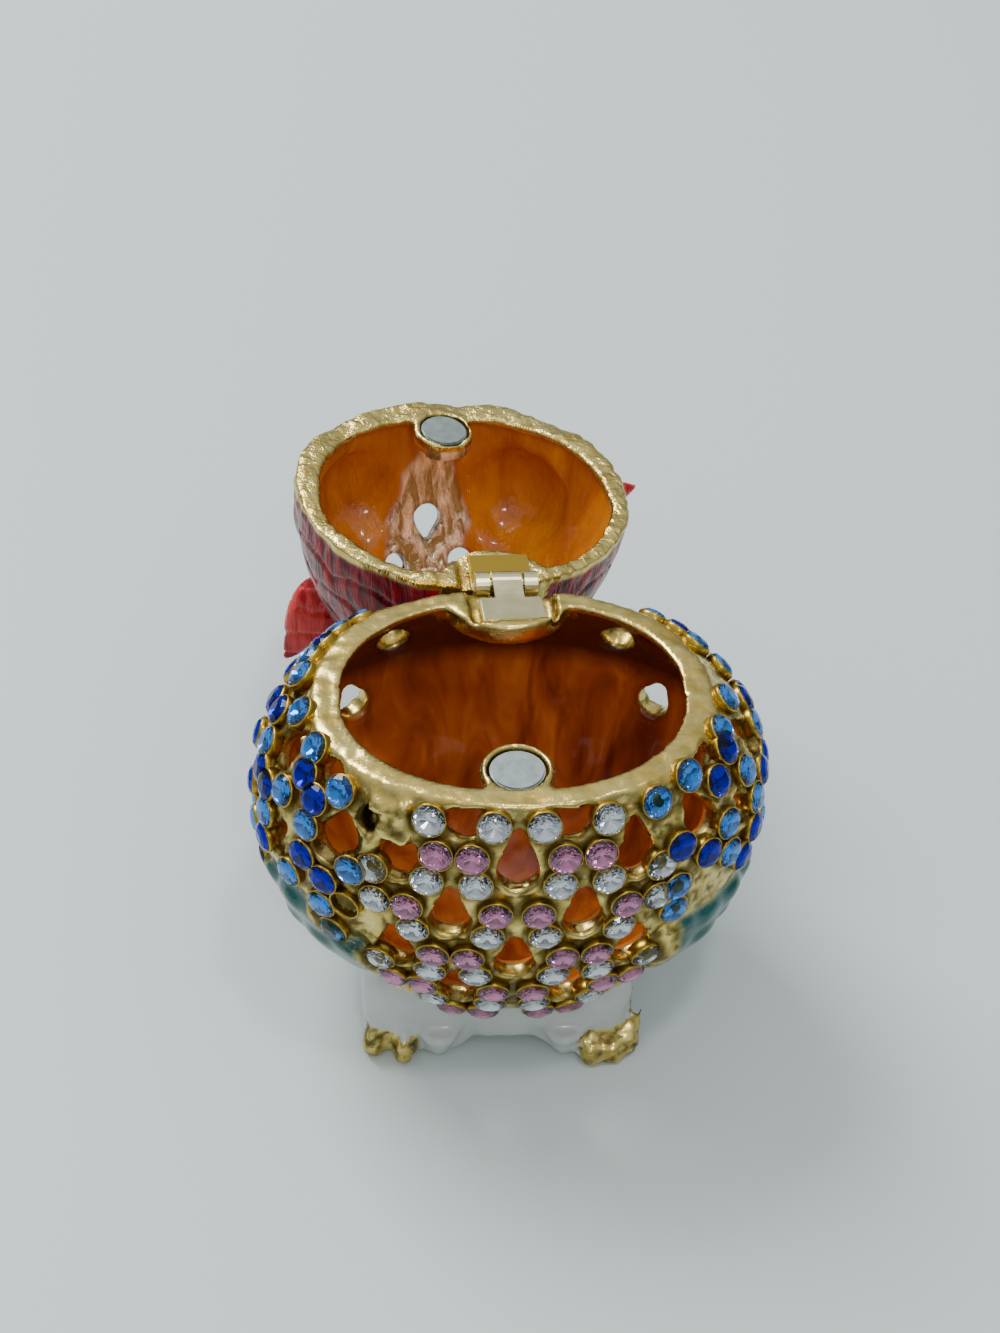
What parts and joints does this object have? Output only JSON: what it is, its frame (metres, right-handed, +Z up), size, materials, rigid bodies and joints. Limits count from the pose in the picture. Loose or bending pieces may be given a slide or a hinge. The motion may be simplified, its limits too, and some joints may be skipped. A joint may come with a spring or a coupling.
{
  "type": "owl trinket box",
  "caption": "Small hinged keepsake box cast as a sitting owl, with an openwork body set with stones and a head that folds back as the lid.",
  "frame": {"origin": "centre of the flat underside of the body, on the surface it stands on", "axes": "+Z up, the owl's breast faces -Y, and the open head lies behind it toward +Y; +X is to the right seen from the front"},
  "size_m": [0.0506, 0.0705, 0.0374],
  "materials": {
    "gilt_casting": "cast metal, gold-plated, polished on the rim and dull in the hollows",
    "enamelled_casting": "glossy maroon enamel over engraved feather lines, gold-plated edges",
    "amber_enamel": "glossy streaky amber enamel inside the bowl and the head",
    "pearl_enamel": "pearl white enamel",
    "teal_enamel": "glossy teal enamel",
    "magnet_nickel": "nickel-plated, slightly scuffed",
    "hinge_steel": "pale gold-washed steel",
    "clear_glass": "cut clear glass, foiled behind",
    "pink_glass": "cut pink glass, foiled behind",
    "light_blue_glass": "cut light blue glass, foiled behind",
    "dark_blue_glass": "cut dark blue glass, foiled behind"
  },
  "bodies": {
    "base": {"body_casting": "gilt_casting", "body_magnet": "magnet_nickel", "body_hinge_leaf": "hinge_steel", "hinge_pin": "hinge_steel", "clear_stone_01": "clear_glass", "clear_stone_03": "clear_glass", "clear_stone_05": "clear_glass", "clear_stone_07": "clear_glass", "clear_stone_09": "clear_glass", "clear_stone_10": "clear_glass", "clear_stone_11": "clear_glass", "clear_stone_13": "clear_glass", "clear_stone_15": "clear_glass", "clear_stone_17": "clear_glass", "clear_stone_19": "clear_glass", "clear_stone_20": "clear_glass", "clear_stone_21": "clear_glass", "clear_stone_23": "clear_glass", "clear_stone_25": "clear_glass", "clear_stone_27": "clear_glass", "clear_stone_29": "clear_glass", "clear_stone_31": "clear_glass", "clear_stone_33": "clear_glass", "clear_stone_35": "clear_glass", "clear_stone_37": "clear_glass", "clear_stone_39": "clear_glass", "clear_stone_41": "clear_glass", "clear_stone_43": "clear_glass", "clear_stone_45": "clear_glass", "clear_stone_47": "clear_glass", "pink_stone_02": "pink_glass", "pink_stone_04": "pink_glass", "pink_stone_06": "pink_glass", "pink_stone_08": "pink_glass", "pink_stone_12": "pink_glass", "pink_stone_14": "pink_glass", "pink_stone_16": "pink_glass", "pink_stone_18": "pink_glass", "pink_stone_22": "pink_glass", "pink_stone_24": "pink_glass", "pink_stone_26": "pink_glass", "pink_stone_28": "pink_glass", "pink_stone_30": "pink_glass", "pink_stone_32": "pink_glass", "pink_stone_34": "pink_glass", "pink_stone_36": "pink_glass", "pink_stone_38": "pink_glass", "pink_stone_40": "pink_glass", "pink_stone_42": "pink_glass", "pink_stone_44": "pink_glass", "pink_stone_46": "pink_glass", "pink_stone_48": "pink_glass"},
    "lid": {"lid_casting": "enamelled_casting", "lid_magnet": "magnet_nickel", "lid_hinge_leaf": "hinge_steel"}
  },
  "joints": [
    {"name": "lid_hinge", "type": "hinge", "parent": "base", "child": "lid", "pos_m": [0, 0.01685, 0.0351], "axis": [0.9926, 0.1046, -0.0623], "range_deg": [0, 176.5]}
  ]
}
